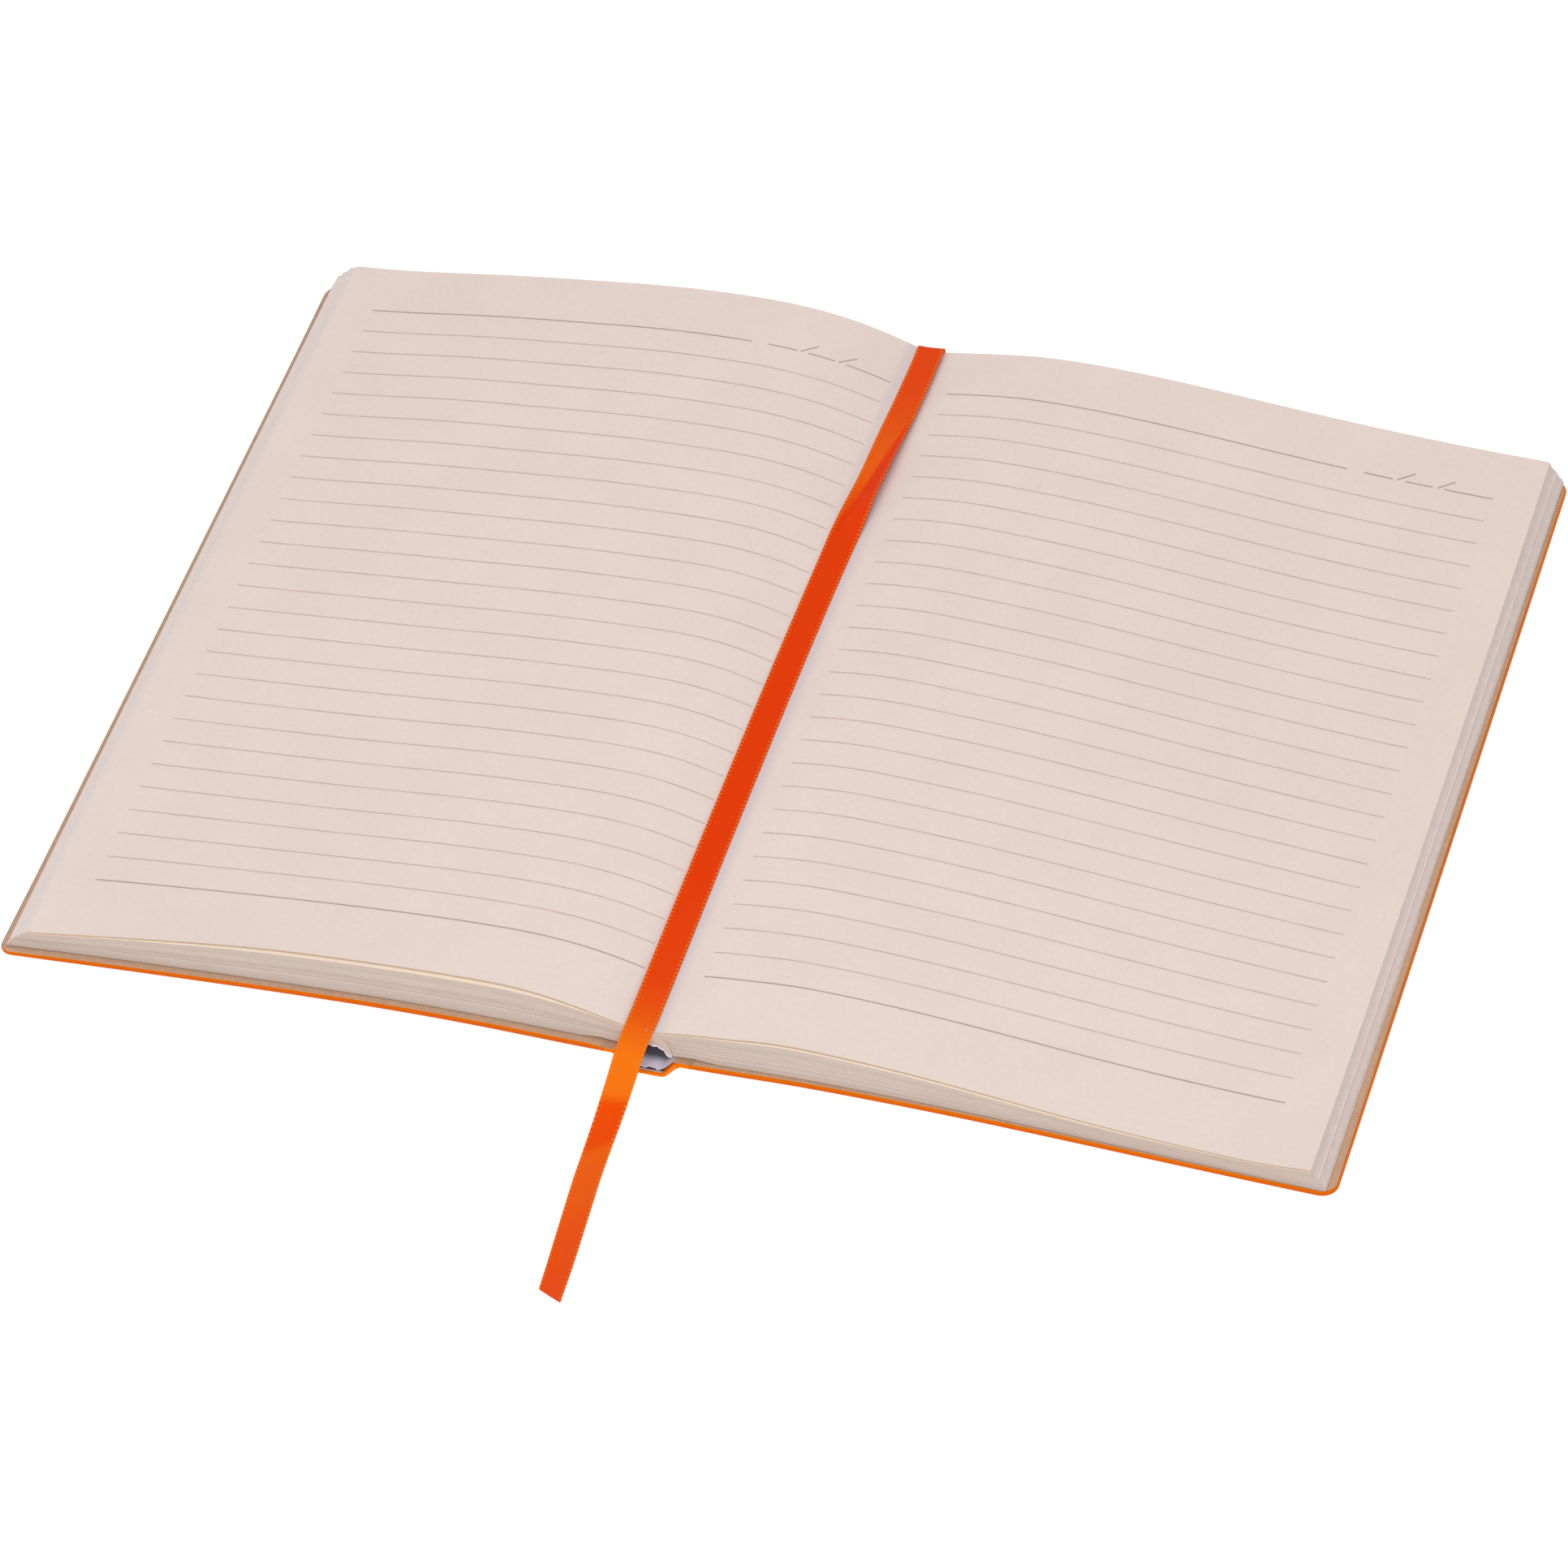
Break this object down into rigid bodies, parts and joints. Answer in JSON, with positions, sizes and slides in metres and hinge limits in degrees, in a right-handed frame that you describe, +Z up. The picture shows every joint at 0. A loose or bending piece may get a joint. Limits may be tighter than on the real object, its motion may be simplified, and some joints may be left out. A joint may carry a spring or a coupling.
{
  "type": "softcover notebook",
  "caption": "Softcover notebook lying open near its middle, with ruled leaves, rounded cover corners and a ribbon marker.",
  "frame": {"origin": "middle of the underside of the covers, on the table", "axes": "+X from the left page to the right page, +Y from tail to head, +Z up from the table"},
  "size_m": [0.2792, 0.2713, 0.0162],
  "materials": {
    "pages": "uncoated cream",
    "endpaper": "tan, fine hatch",
    "card": "grey board",
    "cover": "imitation leather, smooth satin",
    "liner": "white, torn edge",
    "lining": "thin woven lining",
    "ribbon": "satin"
  },
  "bodies": {
    "book": {"text_block": "pages", "front_flyleaf": "endpaper", "back_flyleaf": "endpaper", "spine_skin": "cover", "spine_card": "card", "spine_liner": "liner", "spine_lining": "lining", "ribbon_marker": "ribbon"},
    "front_cover": {"front_cover_skin": "cover", "front_board": "card", "front_pastedown": "endpaper"},
    "back_cover": {"back_cover_skin": "cover", "back_board": "card", "back_pastedown": "endpaper"}
  },
  "joints": [
    {"name": "front_cover_hinge", "type": "hinge", "parent": "book", "child": "front_cover", "pos_m": [-0.0096, 0, 0.0053], "axis": [0, -1, 0], "range_deg": [0, 90]},
    {"name": "back_cover_hinge", "type": "hinge", "parent": "book", "child": "back_cover", "pos_m": [0.006, 0, 0.0045], "axis": [0, 1, 0], "range_deg": [0, 90]}
  ]
}
